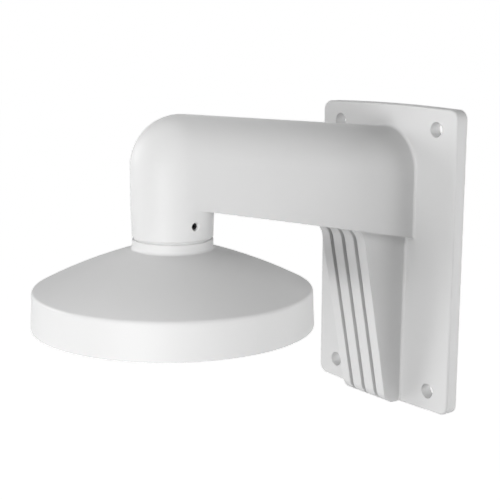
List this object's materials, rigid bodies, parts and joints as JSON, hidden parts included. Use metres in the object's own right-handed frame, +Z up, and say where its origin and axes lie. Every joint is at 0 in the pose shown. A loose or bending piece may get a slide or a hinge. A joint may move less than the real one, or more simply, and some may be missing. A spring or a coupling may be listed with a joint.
{
  "type": "wall bracket",
  "caption": "Wall arm for a hanging dome camera: bolted plate, hollow swan-neck arm with a ribbed gusset, and a round screw-on adapter cap.",
  "frame": {"origin": "middle of the four wall bolts, on the wall", "axes": "+Y into the wall, the arm reaches out along -Y, +Z up, +X to the right seen from the wall's front"},
  "size_m": [0.1514, 0.237, 0.1826],
  "materials": {
    "arm_powder_coat": "fine-textured white powder coat on die-cast aluminium",
    "cap_powder_coat": "smooth white powder coat on die-cast aluminium",
    "screw_steel": "blackened steel"
  },
  "bodies": {
    "root": {"arm_casting": "arm_powder_coat", "adapter_cap": "cap_powder_coat", "set_screw": "screw_steel"}
  },
  "joints": []
}
